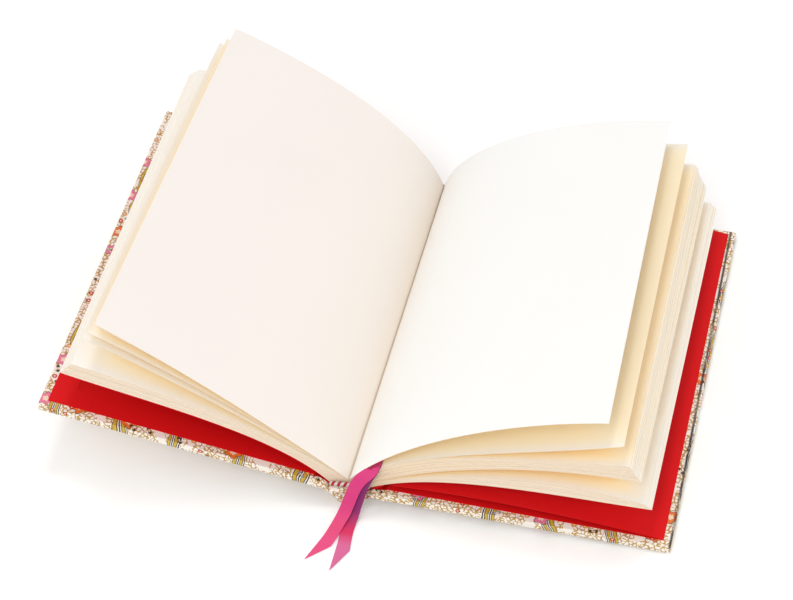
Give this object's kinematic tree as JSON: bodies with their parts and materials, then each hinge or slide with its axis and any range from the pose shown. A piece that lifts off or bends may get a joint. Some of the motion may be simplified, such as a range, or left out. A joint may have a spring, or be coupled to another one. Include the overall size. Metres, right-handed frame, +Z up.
{
  "type": "open book",
  "caption": "Open A5 hardbound blank notebook on its spine: fanned cream pages, red endpapers, printed cover boards, striped bands and two pink ribbon markers.",
  "frame": {"origin": "the middle of the flat strip under the spine, half way up the pages", "axes": "+X from the front cover to the back cover, +Y from tail to head, +Z up"},
  "size_m": [0.3099, 0.2606, 0.107],
  "materials": {
    "page_paper": "matte",
    "board": "matte",
    "printed_paper": "satin",
    "endpaper": "matte",
    "lining_cloth": "matte",
    "band_cotton": "matte",
    "ribbon_satin": "satin"
  },
  "bodies": {
    "book_block": {"page_block": "page_paper", "spine_board": "board", "spine_paper": "printed_paper", "front_flyleaf": "endpaper", "back_endpaper_fold": "endpaper", "spine_lining": "lining_cloth", "tail_band": "band_cotton", "head_band": "band_cotton", "front_ribbon": "ribbon_satin", "rear_ribbon": "ribbon_satin"},
    "front_cover": {"front_board": "board", "front_cover_paper": "printed_paper", "front_pastedown": "endpaper"},
    "back_cover": {"back_board": "board", "back_cover_paper": "printed_paper", "back_pastedown": "endpaper", "back_flyleaf": "endpaper"}
  },
  "joints": [
    {"name": "front_cover_hinge", "type": "hinge", "parent": "book_block", "child": "front_cover", "pos_m": [-0.0144, 0, 0.0116], "axis": [0, 1, 0], "range_deg": [-101, 9]},
    {"name": "back_cover_hinge", "type": "hinge", "parent": "book_block", "child": "back_cover", "pos_m": [0.0144, 0, 0.0092], "axis": [0, -1, 0], "range_deg": [-87, 5]}
  ]
}
